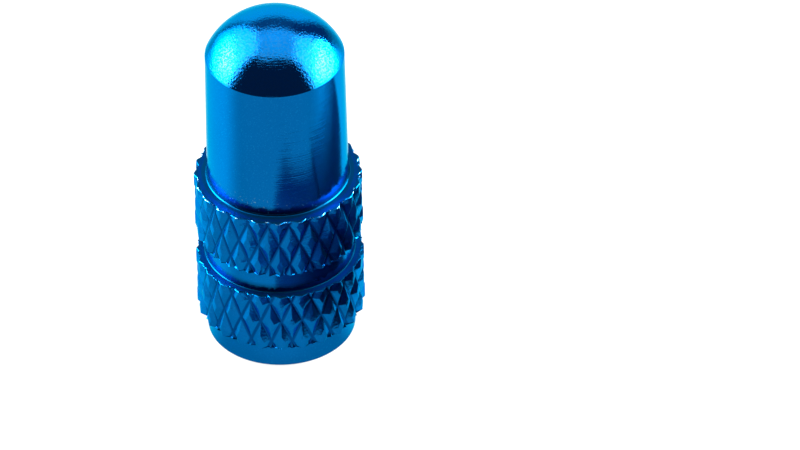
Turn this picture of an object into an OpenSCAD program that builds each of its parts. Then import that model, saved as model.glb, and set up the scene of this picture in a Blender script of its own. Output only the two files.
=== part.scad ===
// Dust cap for a bicycle tyre valve, turned from one aluminium bar.
// It stands on its open mouth: z = 0 is the mouth's face, and the dome points up.
// The bar is knurled first, and the collar, groove, shoulder and nose are turned after,
// so both knurled bands are stretches of one pattern of diamonds.

/* [Nose] */
// Height from the mouth to the top of the dome
length = 18.2; // [16:0.1:22]
// Diameter of the nose where it leaves the shoulder
nose_base_d = 6.75; // [6.4:0.05:7]
// Diameter of the nose at the dome's sharp edge
nose_top_d = 6.62; // [6.2:0.02:6.8]
// Height of the dome above its edge
dome_h = 2.1; // [1.2:0.05:3]
// Radius of the tool's round corner between nose and shoulder
root_r = 0.1; // [0.05:0.01:0.3]

/* [Skirt] */
// Height of the knurled skirt, from the mouth to the shoulder
skirt_h = 9; // [8:0.1:10]
// Diameter of the collar at the mouth
mouth_d = 7.05; // [6.5:0.05:7.1]
// Diameter of the collar where the knurl starts
collar_d = 7.1; // [6.8:0.05:7.2]
// Height of the smooth collar
collar_h = 1.3; // [0.8:0.05:1.5]
// Broken edge round the outside of the mouth
mouth_edge = 0.08; // [0.05:0.01:0.3]
// Diameter of the groove between the knurled bands
groove_d = 7.1; // [6.8:0.05:7.2]
// Width of the groove
groove_w = 1.25; // [0.6:0.05:1.6]
// Height of the knurled band under the groove
lower_band_h = 3.2; // [2.4:0.1:3.6]

/* [Knurl] */
// Diameter over the tips of the diamonds
knurl_d = 8; // [7.8:0.05:9]
// Depth of the grooves between the diamonds
knurl_depth = 0.22; // [0.1:0.01:0.3]
// Diamonds in one row round the cap
knurl_count = 24; // [16:1:32]
// Angle between the knurl's grooves and the cap's axis
helix_angle = 24.2; // [20:0.2:35]
// Size of a diamond's flat tip, as a share of the spacing
tip_share = 0.34; // [0.2:0.02:0.6]
// Size of a diamond's foot, as a share of the spacing
foot_share = 0.94; // [0.8:0.01:0.98]
// Distance from the shoulder down to the middle of the first row of tips
first_row = 0.3; // [0:0.01:1.1]

/* [Bore] */
// Diameter of the hole, which is the tap drill for a 5.2 mm thread of 24 threads per inch
bore_d = 4.2; // [4:0.05:4.6]
// Diameter of the countersink at the mouth
countersink_d = 5.5; // [4.8:0.05:5.9]
// Angle of the drill's point
drill_angle = 118; // [90:1:140]
// Metal left between the drill's point and the top of the dome
crown_t = 2.4; // [1:0.1:3]

/* [Hidden] */
// Smoothness of round surfaces
$fn = 96;

// Overrun of a cut past the face it opens
past = 0.5;

// Outside
knurl_r = knurl_d / 2;
nose_base_r = nose_base_d / 2;
nose_top_r = nose_top_d / 2;
groove_z = collar_h + lower_band_h;
upper_band_z = groove_z + groove_w;
dome_z = length - dome_h;
// Sphere through the dome's edge and its top
dome_r = (pow(nose_top_r, 2) + pow(dome_h, 2)) / (2 * dome_h);

// Bore
bore_r = bore_d / 2;
countersink_r = countersink_d / 2;
countersink_h = countersink_r - bore_r;
drill_point_h = bore_r / tan(drill_angle / 2);
bore_h = length - crown_t - drill_point_h;

// Knurl: each diamond is step_a degrees wide and two rows high
step_a = 360 / knurl_count;
row_h = PI * knurl_r / knurl_count / tan(helix_angle);
row_zero_z = skirt_h - first_row;
foot_r = knurl_r - knurl_depth;

// Everything but the knurled bands: collar, groove's floor, nose and dome
module turned_core() {
    rotate_extrude() {
        polygon([
            [0, 0],
            [mouth_d / 2 - mouth_edge, 0],
            [mouth_d / 2, mouth_edge],
            [collar_d / 2, collar_h],
            [groove_d / 2, collar_h],
            [groove_d / 2, skirt_h],
            [nose_base_r, skirt_h],
            [nose_top_r, dome_z],
            [0, dome_z]
        ]);
        shoulder_corner();
        dome();
    }
}

// Outline of the dome: a slice of a circle, less than half of it, so its edge is sharp
module dome() {
    intersection() {
        translate([0, length - dome_r]) circle(dome_r);
        translate([0, dome_z - past]) square([nose_top_r, dome_h + 2 * past]);
    }
}

// Outline of the small round corner that the turning tool leaves at the shoulder
module shoulder_corner() {
    difference() {
        translate([nose_base_r - root_r, skirt_h - root_r]) square(2 * root_r);
        translate([nose_base_r + root_r, skirt_h + root_r]) circle(root_r);
    }
}

// A point on the knurled bar, at radius r, angle a and height z
function on_bar(r, a, z) = [r * cos(a), r * sin(a), z];

function is_odd(row) = abs(row % 2);

// Right, top, left and bottom corner of a diamond, drawn at a share of its spacing
function diamond(row, col, share, r) =
    let (a = step_a * (col + is_odd(row) / 2), z = row_zero_z + row * row_h)
    [
        on_bar(r, a + share * step_a / 2, z),
        on_bar(r, a, z + share * row_h),
        on_bar(r, a - share * step_a / 2, z),
        on_bar(r, a, z - share * row_h)
    ];

// A length of knurled bar. Each diamond has a foot and a tip, with four flanks between,
// and flat-bottomed grooves join its foot to its neighbours'. Its zigzag ends are cut off later.
module knurled_bar(first, last) {
    rows = last - first + 1;
    right = 0;
    top = 1;
    left = 2;
    bottom = 3;

    // Numbers of the corners of the diamond in this row and column: four at its foot,
    // then four at its tip. The columns go round, so the last one meets the first.
    function foot_at(i, col, corner) =
        8 * (i * knurl_count + (col + knurl_count) % knurl_count) + corner % 4;
    function tip_at(i, col, corner) = foot_at(i, col, corner) + 4;

    // Numbers of the middle points of the two ends
    end_above = 8 * rows * knurl_count;
    end_below = end_above + 1;

    points = [
        for (row = [first : last], col = [0 : knurl_count - 1])
            each concat(
                diamond(row, col, foot_share, foot_r),
                diamond(row, col, tip_share, knurl_r)
            ),
        [0, 0, row_zero_z + last * row_h],
        [0, 0, row_zero_z + first * row_h]
    ];

    tips = [
        for (i = [0 : rows - 1], col = [0 : knurl_count - 1])
            [for (corner = [bottom, left, top, right]) tip_at(i, col, corner)]
    ];
    flanks = [
        for (i = [0 : rows - 1], col = [0 : knurl_count - 1], corner = [right : bottom])
            [
                tip_at(i, col, corner),
                tip_at(i, col, corner + 1),
                foot_at(i, col, corner + 1),
                foot_at(i, col, corner)
            ]
    ];
    grooves = [
        for (i = [0 : rows - 2], col = [0 : knurl_count - 1])
            let (after = col + is_odd(first + i), before = after - 1)
            each [
                [
                    foot_at(i, col, top),
                    foot_at(i + 1, after, left),
                    foot_at(i + 1, after, bottom),
                    foot_at(i, col, right)
                ],
                [
                    foot_at(i, col, left),
                    foot_at(i + 1, before, bottom),
                    foot_at(i + 1, before, right),
                    foot_at(i, col, top)
                ]
            ]
    ];
    crossings = [
        for (i = [0 : rows - 1], col = [0 : knurl_count - 1])
            let (after = col + is_odd(first + i))
            [
                if (i < rows - 1) foot_at(i + 1, after, bottom),
                foot_at(i, col + 1, left),
                if (i > 0) foot_at(i - 1, after, top),
                foot_at(i, col, right)
            ]
    ];
    ends = [
        for (col = [0 : knurl_count - 1], i = [0, rows - 1])
            let (
                hub = i == 0 ? end_below : end_above,
                peak = i == 0 ? bottom : top,
                loop = [
                    [foot_at(i, col, peak), foot_at(i, col, left)],
                    [foot_at(i, col, right), foot_at(i, col, peak)],
                    [foot_at(i, col + 1, left), foot_at(i, col, right)]
                ]
            )
            for (edge = loop)
                i == 0 ? [edge[1], edge[0], hub] : [edge[0], edge[1], hub]
    ];
    polyhedron(points, concat(tips, flanks, grooves, crossings, ends));
}

// One band of the knurl, faced off square at both ends
module knurled_band(z, h) {
    intersection() {
        knurled_bar(
            floor((z - row_zero_z) / row_h) - 1,
            ceil((z + h - row_zero_z) / row_h) + 1
        );
        translate([0, 0, z]) cylinder(r = knurl_r + past, h = h);
    }
}

// The blind hole, with its countersink and the cone that the drill's point leaves
module bore() {
    translate([0, 0, -past])
        cylinder(r = bore_r, h = bore_h + past);
    translate([0, 0, -past])
        cylinder(r1 = countersink_r + past, r2 = bore_r, h = countersink_h + past);
    translate([0, 0, bore_h])
        cylinder(r1 = bore_r, r2 = 0, h = drill_point_h);
}

module valve_cap() {
    color("dodgerblue")
        difference() {
            union() {
                turned_core();
                knurled_band(collar_h, lower_band_h);
                knurled_band(upper_band_z, skirt_h - upper_band_z);
            }
            bore();
        }
}

valve_cap();
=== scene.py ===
# Looks of the bicycle valve cap: bright blue anodised aluminium on a plain pale floor
import math
import random

import bmesh
import bpy
from mathutils import Matrix, Vector


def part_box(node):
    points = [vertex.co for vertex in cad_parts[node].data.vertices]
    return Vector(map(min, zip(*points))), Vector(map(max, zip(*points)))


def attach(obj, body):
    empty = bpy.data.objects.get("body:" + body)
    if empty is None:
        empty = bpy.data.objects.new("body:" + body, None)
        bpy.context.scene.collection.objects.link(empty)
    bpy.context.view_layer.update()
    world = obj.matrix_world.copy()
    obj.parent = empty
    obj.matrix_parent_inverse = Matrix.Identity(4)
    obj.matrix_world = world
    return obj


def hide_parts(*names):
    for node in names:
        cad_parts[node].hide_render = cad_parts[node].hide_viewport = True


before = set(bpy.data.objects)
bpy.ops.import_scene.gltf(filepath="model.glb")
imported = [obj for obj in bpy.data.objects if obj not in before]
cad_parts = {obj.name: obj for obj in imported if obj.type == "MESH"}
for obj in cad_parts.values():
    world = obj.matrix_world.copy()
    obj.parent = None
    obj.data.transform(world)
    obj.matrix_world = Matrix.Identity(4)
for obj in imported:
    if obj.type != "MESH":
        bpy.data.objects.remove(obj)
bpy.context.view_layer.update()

# Lengths below are in millimetres unless a name or comment says otherwise
MM = 0.001
TURN = 2 * math.pi

# The cap's highest corner, from the frame, in metres
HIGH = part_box("valve_cap")[1]
LENGTH = HIGH[2] / MM
KNURL_R = HIGH[0] / MM

# Nose
NOSE_BASE_R = 3.375
NOSE_TOP_R = 3.31
DOME_H = 2.1
DOME_Z = LENGTH - DOME_H
DOME_R = (NOSE_TOP_R ** 2 + DOME_H ** 2) / (2 * DOME_H)
ROOT_R = 0.1

# Skirt
SKIRT_H = 9
COLLAR_H = 1.3
LOWER_BAND_H = 3.2
GROOVE_W = 1.25
GROOVE_LOW = COLLAR_H + LOWER_BAND_H
GROOVE_HIGH = GROOVE_LOW + GROOVE_W
GROOVE_R = 3.55
GROOVE_CORNER_R = 0.07
COLLAR_R = 3.55
MOUTH_R = 3.525
MOUTH_EDGE = 0.08

# Knurl
KNURL_DEPTH = 0.22
KNURL_COUNT = 24
HELIX = math.radians(24.2)
TIP_SHARE = 0.34
FOOT_SHARE = 0.94
FIRST_ROW = 0.3
# Half of a diamond's width and height, on the bar unrolled flat
CELL_W = math.pi * KNURL_R / KNURL_COUNT
CELL_H = CELL_W / math.tan(HELIX)

# Bore
BORE_R = 2.1
COUNTERSINK_R = 2.75
DRILL_POINT_H = BORE_R / math.tan(math.radians(59))
CROWN_T = 2.4
BORE_H = LENGTH - CROWN_T - DRILL_POINT_H

# The bore's right-hand thread, 5.2 mm across with 24 threads to the inch
THREAD_R = 2.6
THREAD_PITCH = 25.4 / 24
THREAD_H = 7
THREAD_FLAT = THREAD_PITCH / 8
THREAD_FLANK_ANGLE = math.radians(30)
# The tap's core stays this far inside the drilled hole, so that its ridges alone cut
TAP_CLEARANCE = 0.05
TAP_START_Z = -0.5
TAP_STEPS = 72

# Small edges that catch the light
KNURL_EDGE = 0.027
BAND_EDGE = 0.03
DOME_EDGE_R = 0.05
# Angle between two faces, in radians, over which the knurl's edge is a crease
CREASE_ANGLE = 0.1
# How far the burr that the facing cut leaves fills a groove's end, as a share of its depth
BURR_SHARE_ABOVE = 0.5
BURR_SHARE_BELOW = 0.15
# Least and most of the burr and of the edge's trim, as shares of their usual size
BURR_SPREAD = (0.2, 1.6)
TRIM_SPREAD = (0.6, 1.4)

# Straight steps round a full turn
ROUND_STEPS = 144
# Points closer than this become one, on turned work, on the knurl's sheet and where it is rolled up
SAME_POINT = 0.0005
SAME_POINT_FLAT = 0.001
SAME_POINT_ROLLED = 0.002
# An edge this close to a height lies at it
AT_HEIGHT = 0.0001
SHARP_ANGLE = math.radians(32)

# Colours of the finish, which the metal's mirroring multiplies
DEEP_DYE = (0.002, 0.235, 0.73, 1)
LIGHT_DYE = (0.002, 0.265, 0.81, 1)
SPARKLE = (0.012, 0.36, 0.9, 1)
DOME_GRAIN = (0.018, 0.262, 0.72, 1)
# Painted shade: a darker blue on the turned walls next to each ledge, where shade falls in the corner
CORNER_PAINTED_SHADE = (0.001, 0.06, 0.14, 1)
# Painted shade: a darker blue on the flat faced rings of the shoulder and of the lower band's top
FACED_PAINTED_SHADE = (0.001, 0.072, 0.2, 1)
# Painted shade: a darker blue on the floors of the knurl's grooves
GROOVE_PAINTED_SHADE = (0.001, 0.06, 0.3, 1)
# Bare-metal wear on the burrs and specks, pale and rough so that it also stands as painted glints
BARE_METAL_AND_GLINTS = (0.4, 0.82, 0.95, 1)
GLANCING_TINT = (0.1, 0.86, 0.93, 1)
TURNED_ROUGHNESS = 0.1
KNURL_ROUGHNESS = 0.16
DOME_POLISH = 0.03
FACED_ROUGHNESS = 0.45
BARE_ROUGHNESS = 0.5
BURRED_ROUGHNESS = 0.4

# Where parts of the finish fade in or out: heights from the mouth
DOME_START = (DOME_Z + 0.04, DOME_Z + 0.1)
# Distances from the axis
TOOL_MARK_STEP = (2, 2.05)
KNURL_START = (3.6, 3.66)
GROOVE_FLOOR_END = (3.785, 3.84)
# Distances above or below the nearer ledge: the shoulder or the lower band's top
FACED_END = (0.012, 0.03)
BURRED_END = (0.05, 0.1)
CORNER_SHADE_END = (0.15, 0.6)
# Heights from the shoulder
SPECKS_START = (0.05, 0.15)
SPECKS_END = (0.5, 1.2)
LIP_START = (-0.08, -0.05)
LIP_END = (-0.01, -0.002)
# Most that the painted shades, the specks, the sparkle and the burrs' bare-metal wear and painted glints
# cover
CORNER_SHADE_MOST = 0.9
GROOVE_FLOOR_SHADE_MOST = 0.75
SPECKS_MOST = 0.5
SPARKLE_MOST = 0.6
BURR_WEAR_AND_GLINTS_MOST = 0.8
# The lathe rings are noise that is squeezed this many times along the cap
RING_SQUEEZE = 40
# Scale and detail of each noise
STREAK_NOISE = (220, 3)
RING_NOISE = (500, 4)
GRAIN_NOISE = (15000, 2)
SKIN_NOISE = (6500, 3)
BUFFED_NOISE = (9000, 2)
DYE_NOISE = (400, 2)
SPARKLE_NOISE = (15000, 1)
DOME_GRAIN_NOISE = (11500, 1)
SPECK_NOISE = (9000, 1)
BURR_NOISE = (6000, 3)
# Levels of a noise at which its spots begin and are full
SPARKLE_SPOTS = (0.6, 0.7)
DOME_GRAIN_SPOTS = (0.5, 0.58)
SPECK_SPOTS = (0.67, 0.71)
BURR_SPOTS = (0.56, 0.62)
# Depth of the relief
STREAK_DEPTH = 0.005
RING_DEPTH = 0.004
GRAIN_DEPTH = 0.0025
SKIN_DEPTH = 0.012
BUFFED_DEPTH = 0.01
TOOL_MARK_DEPTH = 0.004

# The dark bar that lies beside the cap and shows in its reflections alone
BAR_R = 3.3
BAR_FOOT_R = 4
BAR_FOOT_H = 9
BAR_LENGTH = 18.2
BAR_DOME_H = 2.1
BAR_TURN = math.radians(43)
BAR_TILT = math.radians(5.5)
BAR_TIP = (-0.3, -11.1, 3.1)
BAR_COLOUR = (0.006, 0.018, 0.055, 1)

# The light tent's walls, in metres from the cap
WALL_DISTANCE = 0.12
# The ceiling's place over the dome and its size, in wall distances
CEILING_PLACE = (0.18, 0.29, 2.36)
CEILING_W = 2.36
CEILING_D = 2.3
# Light levels. A level of 1 is white.
WALL_LEVEL = 2.4
GLOW_LEVEL = 0.8
CORE_LEVEL = 14
HOT_SPOT_LEVEL = 18
CEILING_LEVEL = 1
BACKDROP_LEVEL = 1.25
BEHIND_LEVEL = 0.1
WHITE = (1, 1, 1, 1)
# The unlit room is a little blue, as the cap's own glow falls on it
DARK_FRONT = (0.022, 0.03, 0.05, 1)
DARK_BACK = (0.04, 0.075, 0.15, 1)
# Where the backdrop's sides fade, as the part of a level direction that points behind the cap
BACKDROP_SIDES = (0.85, 0.94)
# Where its top fades, as the part of a direction that points up
BACKDROP_TOP = (0.45, 0.6)
# Where the dark front turns into the dark back, as the part of a direction that points behind
DARK_FADE = (-0.2, 0.4)

# The floor's level for the camera, half of its width, and its drop under the mouth's face
FLOOR_GLOW = 0.84
FLOOR_HALF_W = 1500
FLOOR_DROP = 0.02
FLOOR_GREY = (0.2, 0.2, 0.2, 1)
FLOOR_GREY_MIRRORED = (0.08, 0.08, 0.08, 1)
# What the metal sees of the floor: dimmer in front, brighter towards the lit walls
FLOOR_FRONT_LEVEL = 0.3
FLOOR_SIDE_LEVEL = 0.5
FLOOR_SIDE_END = (0, 0.6)
# Level of the far floor between the backdrop and the walls, as a share of the near floor's
FLOOR_GAP_SHARE = 0.35
FLOOR_GAP_SIDES = ((-0.7, -0.78), (-0.93, -0.86))
# Distance from the cap, in metres, over which that gap sets in
FLOOR_GAP_START = (0.03, 0.07)


def arc(centre, radius, start, end, steps):
    """Points of a turned outline, as (radius, height), along an arc between two angles in degrees."""
    points = []
    for i in range(steps + 1):
        angle = math.radians(start + (end - start) * i / steps)
        points.append((centre[0] + radius * math.cos(angle), centre[1] + radius * math.sin(angle)))
    return points


def turned(bm, outline):
    """Spins an outline of (radius, height) points round the cap's axis."""
    verts = [bm.verts.new((r, 0, z)) for r, z in outline]
    edges = [bm.edges.new(pair) for pair in zip(verts, verts[1:])]
    bmesh.ops.spin(
        bm, geom=verts + edges, cent=(0, 0, 0), axis=(0, 0, 1),
        angle=TURN, steps=ROUND_STEPS, use_merge=True,
    )


def nose_outline():
    """From the shoulder's inner edge up to the top of the dome."""
    root = arc((NOSE_BASE_R + ROOT_R, SKIRT_H + ROOT_R), ROOT_R, 270, 180, steps=12)
    edge_angle = math.degrees(math.acos(NOSE_TOP_R / DOME_R))
    # The rounding's centre lies a little under the dome's edge
    edge_centre = (NOSE_TOP_R - DOME_EDGE_R, DOME_Z - DOME_EDGE_R / 4)
    edge = arc(edge_centre, DOME_EDGE_R, 0, edge_angle, steps=4)
    dome = arc((0, LENGTH - DOME_R), DOME_R, edge_angle + 1, 90, steps=40)
    return root + edge + dome


def groove_outline():
    """The groove between the knurled bands, with the small round corners of its tool."""
    corner_r = GROOVE_R + GROOVE_CORNER_R
    low = arc((corner_r, GROOVE_LOW + GROOVE_CORNER_R), GROOVE_CORNER_R, 270, 180, steps=10)
    high = arc((corner_r, GROOVE_HIGH - GROOVE_CORNER_R), GROOVE_CORNER_R, 180, 90, steps=10)
    return low + high


def mouth_outline():
    """From the collar's top, round the mouth and up the blind hole to its point."""
    rim = arc((MOUTH_R - MOUTH_EDGE, MOUTH_EDGE), MOUTH_EDGE, 0, -90, steps=12)
    return [(COLLAR_R, COLLAR_H)] + rim + [
        (COUNTERSINK_R, 0),
        (BORE_R, COUNTERSINK_R - BORE_R),
        (BORE_R, BORE_H),
        (0, BORE_H + DRILL_POINT_H),
    ]


def diamond_sheet(rows):
    """The knurl unrolled flat: X runs round the bar, Y along it and Z out of it."""
    bm = bmesh.new()
    bmesh.ops.create_circle(bm, cap_ends=True, radius=1, segments=4)
    bmesh.ops.scale(bm, vec=(CELL_W, CELL_H, 1), verts=bm.verts)
    edge_distance = CELL_W * CELL_H / math.hypot(CELL_W, CELL_H)
    floor_w = (1 - FOOT_SHARE) * edge_distance
    flank_w = (FOOT_SHARE - TIP_SHARE) * edge_distance
    face = bm.faces[:]
    for inset_w, rise in ((floor_w, 0), (flank_w, KNURL_DEPTH)):
        bmesh.ops.inset_individual(bm, faces=face, thickness=inset_w, depth=rise, use_even_offset=True)
    cell = bm.verts[:] + bm.edges[:] + bm.faces[:]
    for row in rows:
        for col in range(KNURL_COUNT):
            copy = bmesh.ops.duplicate(bm, geom=cell)["geom"]
            corners = [v for v in copy if isinstance(v, bmesh.types.BMVert)]
            place = ((2 * col + row % 2) * CELL_W, row * CELL_H, 0)
            bmesh.ops.translate(bm, vec=place, verts=corners)
    bmesh.ops.delete(bm, geom=cell, context="VERTS")
    bmesh.ops.remove_doubles(bm, verts=bm.verts, dist=SAME_POINT_FLAT)
    return bm


def soften(bm, width):
    """Rounds every crease of the knurl a little."""
    creases = [e for e in bm.edges if e.is_manifold and e.calc_face_angle() > CREASE_ANGLE]
    bmesh.ops.bevel(
        bm, geom=creases, offset=width, segments=2, profile=0.5,
        affect="EDGES", material=-1, clamp_overlap=True,
    )


def roll_up(bm):
    """Wraps the flat sheet round the bar, so that its first and last columns meet."""
    root = KNURL_R - KNURL_DEPTH
    first_z = SKIRT_H - FIRST_ROW
    for v in bm.verts:
        angle = v.co.x / KNURL_R
        radius = root + v.co.z
        v.co = Vector((radius * math.cos(angle), radius * math.sin(angle), first_z + v.co.y))
    bmesh.ops.remove_doubles(bm, verts=bm.verts, dist=SAME_POINT_ROLLED)


def at_height(edge, z):
    return all(abs(v.co.z - z) < AT_HEIGHT for v in edge.verts)


def open_edge(bm, z):
    return [e for e in bm.edges if e.is_boundary and at_height(e, z)]


def cut_level(bm, z, keep_below):
    """Cuts a mesh off at a height, keeps one side and gives back the open edge that is left."""
    everything = bm.verts[:] + bm.edges[:] + bm.faces[:]
    bmesh.ops.bisect_plane(
        bm, geom=everything, plane_co=(0, 0, z), plane_no=(0, 0, 1),
        clear_outer=keep_below, clear_inner=not keep_below,
    )
    return open_edge(bm, z)


def fill_level(bm, rim):
    """Fills an open edge that lies level."""
    bmesh.ops.triangle_fill(bm, edges=rim, use_beauty=True, use_dissolve=False, normal=(0, 0, 1))


def face_off(bm, z, keep_below):
    """Cuts the knurled bar square at a height, and leaves a fine uneven burr on the jagged edge."""
    inward = -1 if keep_below else 1
    burr_share = BURR_SHARE_ABOVE if keep_below else BURR_SHARE_BELOW
    rim = cut_level(bm, z + 2 * inward * BAND_EDGE, keep_below)
    for level, share, trim in ((z + inward * BAND_EDGE, burr_share, 0), (z, 0, BAND_EDGE)):
        grown = bmesh.ops.extrude_edge_only(bm, edges=rim)["geom"]
        rim = [e for e in grown if isinstance(e, bmesh.types.BMEdge) and e.is_boundary]
        for v in grown:
            if isinstance(v, bmesh.types.BMVert):
                radius = math.hypot(v.co.x, v.co.y)
                burr = share * random.uniform(*BURR_SPREAD) * (KNURL_R - radius)
                grow = (radius + burr - trim * random.uniform(*TRIM_SPREAD)) / radius
                v.co = Vector((v.co.x * grow, v.co.y * grow, level))


def add_to(target, source):
    """Moves one bmesh's faces into another."""
    mesh = bpy.data.meshes.new("part")
    source.to_mesh(mesh)
    source.free()
    target.from_mesh(mesh)
    bpy.data.meshes.remove(mesh)


def knurled_bands(bm):
    """Both bands are lengths of one rolled pattern."""
    for low, high in ((COLLAR_H, GROOVE_LOW), (GROOVE_HIGH, SKIRT_H)):
        lowest_row = math.floor((low - SKIRT_H + FIRST_ROW) / CELL_H) - 1
        highest_row = math.ceil((high - SKIRT_H + FIRST_ROW) / CELL_H) + 1
        band = diamond_sheet(range(lowest_row, highest_row + 1))
        soften(band, KNURL_EDGE)
        roll_up(band)
        face_off(band, low, keep_below=False)
        face_off(band, high, keep_below=True)
        add_to(bm, band)


def close_faces(bm):
    """Fills the flat rings between the knurl's ends and the turned stretches."""
    for z in (COLLAR_H, GROOVE_LOW, GROOVE_HIGH, SKIRT_H):
        fill_level(bm, open_edge(bm, z))


def tap():
    """A plug with the thread's outline, to cut the thread with. It is wound too long and cut off."""
    bm = bmesh.new()
    core_r = BORE_R - TAP_CLEARANCE
    flank_h = (THREAD_R - core_r) * math.tan(THREAD_FLANK_ANGLE)
    crest_low = (THREAD_PITCH - THREAD_FLAT) / 2
    crest_high = (THREAD_PITCH + THREAD_FLAT) / 2
    outline = (
        (core_r, 0),
        (core_r, crest_low - flank_h),
        (THREAD_R, crest_low),
        (THREAD_R, crest_high),
        (core_r, crest_high + flank_h),
        (core_r, THREAD_PITCH),
    )
    verts = [bm.verts.new((r, 0, h - 2 * THREAD_PITCH)) for r, h in outline]
    edges = [bm.edges.new(pair) for pair in zip(verts, verts[1:])]
    turns = math.ceil(THREAD_H / THREAD_PITCH) + 4
    bmesh.ops.spin(
        bm, geom=verts + edges, cent=(0, 0, 0), axis=(0, 0, 1),
        dvec=(0, 0, THREAD_PITCH / TAP_STEPS), angle=TURN * turns, steps=TAP_STEPS * turns,
    )
    bmesh.ops.remove_doubles(bm, verts=bm.verts, dist=SAME_POINT_FLAT)
    for z, keep_below in ((TAP_START_Z, False), (THREAD_H, True)):
        fill_level(bm, cut_level(bm, z, keep_below))
    bmesh.ops.recalc_face_normals(bm, faces=bm.faces)
    return bm


def to_object(bm, name):
    """Makes an object in metres, with its place in its mesh."""
    bmesh.ops.scale(bm, vec=(MM, MM, MM), verts=bm.verts)
    mesh = bpy.data.meshes.new(name)
    bm.to_mesh(mesh)
    bm.free()
    piece = bpy.data.objects.new(name, mesh)
    bpy.context.scene.collection.objects.link(piece)
    return piece


def cut(piece, tool):
    """Cuts one closed piece out of another and keeps the result as plain mesh."""
    boolean = piece.modifiers.new("cut", "BOOLEAN")
    boolean.operation = "DIFFERENCE"
    boolean.solver = "EXACT"
    boolean.object = tool
    depsgraph = bpy.context.evaluated_depsgraph_get()
    mesh = bpy.data.meshes.new_from_object(piece.evaluated_get(depsgraph))
    piece.modifiers.clear()
    piece.data = mesh
    bpy.data.objects.remove(tool)


def shade(piece):
    """Smooth shading, apart from the sharp edges."""
    piece.data.shade_smooth()
    piece.data.set_sharp_from_angle(angle=SHARP_ANGLE)


def make_cap():
    """The whole cap: turned, knurled and tapped."""
    random.seed(7)
    bm = bmesh.new()
    turned(bm, nose_outline())
    turned(bm, groove_outline())
    turned(bm, mouth_outline())
    bmesh.ops.remove_doubles(bm, verts=bm.verts, dist=SAME_POINT)
    knurled_bands(bm)
    close_faces(bm)
    bmesh.ops.remove_doubles(bm, verts=bm.verts, dist=SAME_POINT)
    bmesh.ops.recalc_face_normals(bm, faces=bm.faces)
    cap = to_object(bm, "turned_cap")
    cut(cap, to_object(tap(), "tap"))
    shade(cap)
    shading = cap.modifiers.new("flat_facets", "WEIGHTED_NORMAL")
    shading.keep_sharp = True
    shading.weight = 100
    return cap


class Finish:
    """A node material under construction."""

    def __init__(self, name):
        self.material = bpy.data.materials.new(name)
        self.material.use_nodes = True
        self.tree = self.material.node_tree
        self.shader = self.tree.nodes["Principled BSDF"]

    @classmethod
    def over(cls, tree):
        """The same helpers for a tree that is there already."""
        finish = cls.__new__(cls)
        finish.tree = tree
        return finish

    def node(self, kind, settings=None, **inputs):
        made = self.tree.nodes.new(kind)
        for key, value in (settings or {}).items():
            setattr(made, key, value)
        for key, value in inputs.items():
            self.feed(made.inputs[key.replace("_", " ")], value)
        return made

    def feed(self, socket, value):
        if isinstance(value, bpy.types.NodeSocket):
            self.tree.links.new(value, socket)
        else:
            socket.default_value = value

    def math(self, operation, *values):
        made = self.tree.nodes.new("ShaderNodeMath")
        made.operation = operation
        for socket, value in zip(made.inputs, values):
            self.feed(socket, value)
        return made.outputs[0]

    def times(self, first, second):
        return self.math("MULTIPLY", first, second)

    def distance(self, x, y):
        """The distance of a point from the Z axis."""
        return self.math("SQRT", self.math("ADD", self.times(x, x), self.times(y, y)))

    def noise(self, place, scale, detail):
        made = self.node("ShaderNodeTexNoise", Scale=scale, Detail=detail)
        self.feed(made.inputs["Vector"], place)
        return made.outputs["Fac"]

    def spots(self, place, noise, levels, most=1):
        """Spots of a noise, which begin at its first level and are full at its second."""
        return self.range(self.noise(place, *noise), *levels, 0, most)

    def mix(self, share, first, second):
        made = self.node("ShaderNodeMix", {"data_type": "RGBA"})
        sockets = (made.inputs["Factor"], made.inputs["A"], made.inputs["B"])
        for socket, value in zip(sockets, (share, first, second)):
            self.feed(socket, value)
        return made.outputs["Result"]

    def range(self, value, low, high, out_low, out_high):
        settings = {"interpolation_type": "SMOOTHSTEP"}
        made = self.node("ShaderNodeMapRange", settings, Value=value)
        keys = ("From Min", "From Max", "To Min", "To Max")
        for key, number in zip(keys, (low, high, out_low, out_high)):
            made.inputs[key].default_value = number
        return made.outputs["Result"]

    def zone(self, length, ends, out_low=0, out_high=1):
        """A fade between two lengths in millimetres."""
        return self.range(length, ends[0] * MM, ends[1] * MM, out_low, out_high)

    def bump(self, height, depth, under=None, strength=1):
        """Relief of a depth in millimetres, laid over the relief under it."""
        made = self.node("ShaderNodeBump", Strength=strength, Distance=depth * MM, Height=height)
        if under is not None:
            self.feed(made.inputs["Normal"], under)
        return made.outputs["Normal"]


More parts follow.
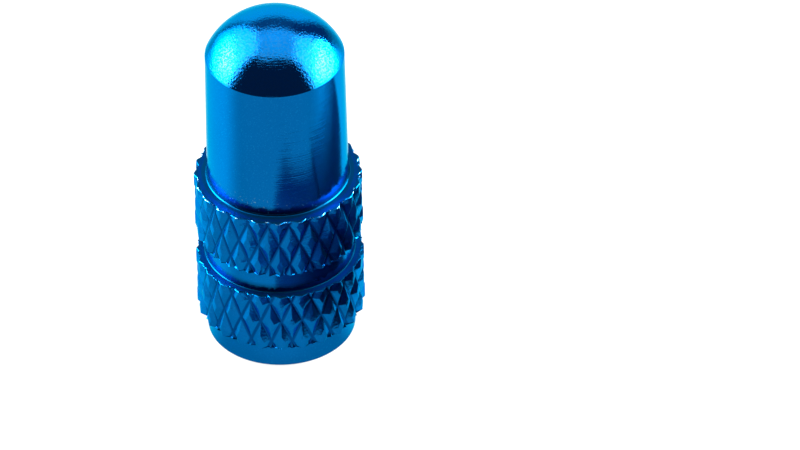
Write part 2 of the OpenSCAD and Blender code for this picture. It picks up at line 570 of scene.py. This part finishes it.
def anodised_aluminium():
    """Dyed metal: lathe rings on the turned stretches, a rougher skin on the knurl, bare burrs. Painted
    shade darkens the corners by the ledges, the faced rings and the knurl's groove floors, and the pale
    burrs and specks are bare-metal wear that also stands as painted glints.
    """
    finish = Finish("blue_anodised_aluminium")
    place = finish.node("ShaderNodeTexCoord").outputs["Object"]
    x, y, z = finish.node("ShaderNodeSeparateXYZ", Vector=place).outputs
    radius = finish.distance(x, y)
    over_shoulder = finish.math("SUBTRACT", z, SKIRT_H * MM)
    over_band = finish.math("SUBTRACT", z, GROOVE_LOW * MM)
    from_ledge = finish.math(
        "MINIMUM", finish.math("ABSOLUTE", over_shoulder), finish.math("ABSOLUTE", over_band)
    )

    # Where each part of the finish lies
    domed = finish.zone(z, DOME_START)
    knurled = finish.zone(radius, KNURL_START)
    plain = finish.math("SUBTRACT", 1, knurled)
    # The faced rings carry painted shade as well as a duller roughness
    faced = finish.zone(from_ledge, FACED_END, 1, 0)
    # Painted shade in the corners of the turned walls just above and below each ledge
    corner_shade = finish.times(finish.zone(from_ledge, CORNER_SHADE_END, CORNER_SHADE_MOST, 0), plain)
    # Painted shade in the floors of the knurl's grooves
    groove_floor_shade = finish.times(finish.zone(radius, GROOVE_FLOOR_END, GROOVE_FLOOR_SHADE_MOST, 0), knurled)
    sparkle = finish.spots(place, SPARKLE_NOISE, SPARKLE_SPOTS, SPARKLE_MOST)
    pale = finish.times(domed, finish.spots(place, DOME_GRAIN_NOISE, DOME_GRAIN_SPOTS))
    foot = finish.zone(over_shoulder, SPECKS_START, 0, SPECKS_MOST)
    foot = finish.times(foot, finish.zone(over_shoulder, SPECKS_END, 1, 0))
    # Specks and burrs: bare-metal wear that is also painted glints
    specks = finish.times(finish.spots(place, SPECK_NOISE, SPECK_SPOTS), foot)
    lip = finish.times(finish.zone(over_shoulder, LIP_START), finish.zone(over_shoulder, LIP_END, 1, 0))
    patchy = finish.spots(place, BURR_NOISE, BURR_SPOTS, BURR_WEAR_AND_GLINTS_MOST)
    burr_wear_and_glints = finish.times(finish.times(lip, knurled), patchy)
    bare_and_glints = finish.math("MAXIMUM", burr_wear_and_glints, finish.times(specks, plain))

    # Relief, from the coarsest marks of the lathe to the step that its tool left on the dome
    along = finish.math("SUBTRACT", z, radius)
    squeezed = finish.times(along, RING_SQUEEZE)
    ring_place = finish.node("ShaderNodeCombineXYZ", X=x, Y=y, Z=squeezed).outputs[0]
    normal = finish.bump(finish.noise(ring_place, *STREAK_NOISE), STREAK_DEPTH)
    normal = finish.bump(finish.noise(ring_place, *RING_NOISE), RING_DEPTH, normal)
    normal = finish.bump(finish.noise(place, *GRAIN_NOISE), GRAIN_DEPTH, normal)
    normal = finish.bump(finish.noise(place, *SKIN_NOISE), SKIN_DEPTH, normal, strength=knurled)
    normal = finish.bump(finish.noise(place, *BUFFED_NOISE), BUFFED_DEPTH, normal, strength=domed)
    tool_mark = finish.zone(radius, TOOL_MARK_STEP)
    normal = finish.bump(tool_mark, TOOL_MARK_DEPTH, normal, strength=domed)

    dye = finish.mix(finish.noise(place, *DYE_NOISE), DEEP_DYE, LIGHT_DYE)
    layers = (
        (sparkle, SPARKLE),
        (pale, DOME_GRAIN),
        (corner_shade, CORNER_PAINTED_SHADE),
        (faced, FACED_PAINTED_SHADE),
        (groove_floor_shade, GROOVE_PAINTED_SHADE),
        (bare_and_glints, BARE_METAL_AND_GLINTS),
    )
    for share, colour in layers:
        dye = finish.mix(share, dye, colour)

    gloss = finish.range(knurled, 0, 1, TURNED_ROUGHNESS, KNURL_ROUGHNESS)
    roughness = finish.math("SUBTRACT", gloss, finish.times(domed, DOME_POLISH))
    burred = finish.times(finish.zone(from_ledge, BURRED_END, BURRED_ROUGHNESS, 0), knurled)
    for duller in (finish.times(faced, FACED_ROUGHNESS), finish.times(bare_and_glints, BARE_ROUGHNESS), burred):
        roughness = finish.math("MAXIMUM", roughness, duller)

    shader = finish.shader
    shader.inputs["Metallic"].default_value = 1
    shader.inputs["Specular Tint"].default_value = GLANCING_TINT
    finish.feed(shader.inputs["Base Color"], dye)
    finish.feed(shader.inputs["Roughness"], roughness)
    finish.feed(shader.inputs["Normal"], normal)
    return finish.material


def pale_floor():
    """A matt floor that renders near white, keeps the cap's shadow and can be seen through from below."""
    finish = Finish("pale_floor")
    shader = finish.shader
    shader.inputs["Roughness"].default_value = 0.9
    shader.inputs["Specular IOR Level"].default_value = 0
    shader.inputs["Emission Color"].default_value = WHITE
    place = finish.node("ShaderNodeTexCoord").outputs["Object"]
    x, y = finish.node("ShaderNodeSeparateXYZ", Vector=place).outputs[:2]
    distance = finish.distance(x, y)
    in_front = finish.math("DIVIDE", finish.times(y, -1), distance)
    sideways = finish.times(finish.range(in_front, *FLOOR_SIDE_END, 1, 0), FLOOR_SIDE_LEVEL)
    near = finish.math("ADD", sideways, FLOOR_FRONT_LEVEL)
    gap_sides = [finish.range(in_front, *ends, 0, 1) for ends in FLOOR_GAP_SIDES]
    far = finish.range(distance, *FLOOR_GAP_START, 0, 1 - FLOOR_GAP_SHARE)
    far_gap = finish.times(finish.times(*gap_sides), far)
    mirrored = finish.times(near, finish.math("SUBTRACT", 1, far_gap))
    path = finish.node("ShaderNodeLightPath")
    in_metal = path.outputs["Is Glossy Ray"]
    to_camera = finish.times(path.outputs["Is Camera Ray"], FLOOR_GLOW)
    to_metal = finish.times(in_metal, mirrored)
    finish.feed(shader.inputs["Emission Strength"], finish.math("ADD", to_camera, to_metal))
    finish.feed(shader.inputs["Base Color"], finish.mix(in_metal, FLOOR_GREY, FLOOR_GREY_MIRRORED))
    seen_from_below = finish.node("ShaderNodeNewGeometry").outputs["Backfacing"]
    two_sided = finish.node("ShaderNodeMixShader", Fac=seen_from_below)
    finish.feed(two_sided.inputs[1], shader.outputs[0])
    finish.feed(two_sided.inputs[2], finish.node("ShaderNodeBsdfTransparent").outputs[0])
    finish.feed(finish.tree.nodes["Material Output"].inputs["Surface"], two_sided.outputs[0])
    bm = bmesh.new()
    bmesh.ops.create_grid(bm, x_segments=1, y_segments=1, size=FLOOR_HALF_W)
    bmesh.ops.translate(bm, vec=(0, 0, -FLOOR_DROP), verts=bm.verts)
    floor = to_object(bm, "floor")
    floor.data.materials.append(finish.material)


def lamp(name, place, facing, shape, wide, high, level):
    """A flat soft lamp. An upright one has its height along Z."""
    light = bpy.data.lights.new(name, "AREA")
    light.shape = shape
    light.size = wide
    light.size_y = high
    light.energy = level * math.pi * wide * high
    if shape == "ELLIPSE":
        light.energy *= math.pi / 4
    holder = bpy.data.objects.new(name, light)
    turn = Vector(facing).to_track_quat("-Z", "Y").to_matrix().to_4x4()
    holder.matrix_world = Matrix.Translation(place) @ turn
    holder.visible_camera = False
    bpy.context.scene.collection.objects.link(holder)


def from_dome(place):
    """A place in metres, from one in wall distances from the dome's top."""
    return Vector(place) * WALL_DISTANCE + Vector((0, 0, HIGH[2]))


def wall(name, side, front, back, top, level):
    """A lit side wall that stands on the floor. Its ends and top are in wall distances from the dome."""
    height = HIGH[2] + top * WALL_DISTANCE
    place = (side * WALL_DISTANCE, (front + back) / 2 * WALL_DISTANCE, height / 2)
    lamp(name, place, (-side, 0, 0), "RECTANGLE", (back - front) * WALL_DISTANCE, height, level)


def bright_patch(name, centre, wide, high, level):
    """A bright part of a wall, a little in front of it, placed in wall distances from the dome."""
    facing = (-centre[0], 0, 0)
    lamp(name, from_dome(centre), facing, "ELLIPSE", wide * WALL_DISTANCE, high * WALL_DISTANCE, level)


def dark_bar():
    """A dark bar beside the cap, which is seen in the metal alone and shades its right side."""
    bm = bmesh.new()
    edge_z = BAR_LENGTH - BAR_DOME_H
    dome_r = (BAR_R ** 2 + BAR_DOME_H ** 2) / (2 * BAR_DOME_H)
    edge_angle = math.degrees(math.acos(BAR_R / dome_r))
    dome = arc((0, BAR_LENGTH - dome_r), dome_r, edge_angle, 90, steps=12)
    foot = [(0, 0), (BAR_FOOT_R, 0), (BAR_FOOT_R, BAR_FOOT_H), (BAR_R, BAR_FOOT_H)]
    turned(bm, foot + [(BAR_R, edge_z)] + dome[1:])
    lying = Matrix.Rotation(BAR_TURN, 4, "Z") @ Matrix.Rotation(-math.pi / 2 - BAR_TILT, 4, "Y")
    place = Matrix.Translation(BAR_TIP) @ lying @ Matrix.Translation((0, 0, -BAR_LENGTH))
    bmesh.ops.transform(bm, matrix=place, verts=bm.verts)
    bmesh.ops.remove_doubles(bm, verts=bm.verts, dist=SAME_POINT)
    bmesh.ops.recalc_face_normals(bm, faces=bm.faces)
    bar = to_object(bm, "dark_bar")
    shade(bar)
    finish = Finish("dark_bar")
    finish.shader.inputs["Base Color"].default_value = BAR_COLOUR
    finish.shader.inputs["Roughness"].default_value = 0.6
    bar.data.materials.append(finish.material)
    bar.visible_camera = False
    bar.visible_diffuse = False
    bar.visible_shadow = False
    bar.visible_transmission = False


def light_tent():
    """Two lit side walls, each with a glow, a bright core and a hot spot in its middle, and a ceiling.

    Lamps in one plane hide each other in reflections, so each patch lies in front of the last.
    """
    wall("left_wall", -1, -0.32, 1.5, 2.36, WALL_LEVEL)
    bright_patch("left_glow", (-0.97, 0.2, 0.5), 1.3, 1.3, GLOW_LEVEL)
    bright_patch("left_core", (-0.95, 0.35, 0.3), 1.1, 0.5, CORE_LEVEL)
    bright_patch("left_hot_spot", (-0.93, 0.2, 0.36), 0.55, 0.3, HOT_SPOT_LEVEL)
    wall("right_wall", 1, -0.58, 0.78, 1.82, WALL_LEVEL)
    bright_patch("right_glow", (0.97, 0, 0.38), 1.3, 1.3, GLOW_LEVEL)
    bright_patch("right_core", (0.95, 0.2, 0.26), 1, 0.5, CORE_LEVEL)
    bright_patch("right_hot_spot", (0.93, 0.1, 0.32), 0.55, 0.35, HOT_SPOT_LEVEL)
    wide = CEILING_W * WALL_DISTANCE
    deep = CEILING_D * WALL_DISTANCE
    lamp("ceiling", from_dome(CEILING_PLACE), (0, 0, -1), "RECTANGLE", wide, deep, CEILING_LEVEL)


def room_around():
    """A dark room with a low pale backdrop behind the cap. The camera itself sees white."""
    world = bpy.data.worlds.new("studio")
    world.use_nodes = True
    room = Finish.over(world.node_tree)
    direction = room.node("ShaderNodeTexCoord").outputs["Generated"]
    x, y, z = room.node("ShaderNodeSeparateXYZ", Vector=direction).outputs
    across = room.distance(x, y)
    behind = room.range(room.math("DIVIDE", y, across), *BACKDROP_SIDES, 0, 1)
    low = room.range(z, *BACKDROP_TOP, BACKDROP_LEVEL, BEHIND_LEVEL)
    dark = room.mix(room.range(y, *DARK_FADE, 0, 1), DARK_FRONT, DARK_BACK)
    mirrored = room.mix(room.times(behind, low), dark, WHITE)
    seen = room.node("ShaderNodeLightPath").outputs["Is Camera Ray"]
    backdrop = room.tree.nodes["Background"]
    room.feed(backdrop.inputs["Color"], room.mix(seen, mirrored, WHITE))
    backdrop.inputs["Strength"].default_value = 1
    bpy.context.scene.world = world


def photo_camera():
    """The camera looks down on the cap as in the photograph, from far off through a long lens."""
    image_w, image_h = 800, 450
    px_per_mm = 20.95
    # Pixel where the centre of the mouth lies
    mouth_px, mouth_py = 282.0, 318.8
    elevation = math.radians(38.8)
    roll = math.radians(-1.3)
    view = bpy.data.cameras.new("photo_camera")
    view.lens = 800
    view.sensor_width = 36
    view.clip_start = 0.05
    view.clip_end = 20
    distance = view.lens * image_w / view.sensor_width / px_per_mm * MM
    across = (mouth_px - image_w / 2) / px_per_mm * MM
    up = (image_h / 2 - mouth_py) / px_per_mm * MM
    turn = Matrix.Rotation(math.pi / 2 - elevation, 4, "X") @ Matrix.Rotation(roll, 4, "Z")
    camera = bpy.data.objects.new("photo_camera", view)
    camera.matrix_world = Matrix.Translation(-(turn @ Vector((across, up, -distance)))) @ turn
    bpy.context.scene.collection.objects.link(camera)
    bpy.context.scene.camera = camera


bpy.context.scene.view_settings.view_transform = "Standard"
photo_camera()
light_tent()
room_around()
pale_floor()
dark_bar()
cap = make_cap()
cap.data.materials.clear()
cap.data.materials.append(anodised_aluminium())
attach(cap, "root")
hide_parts("valve_cap")
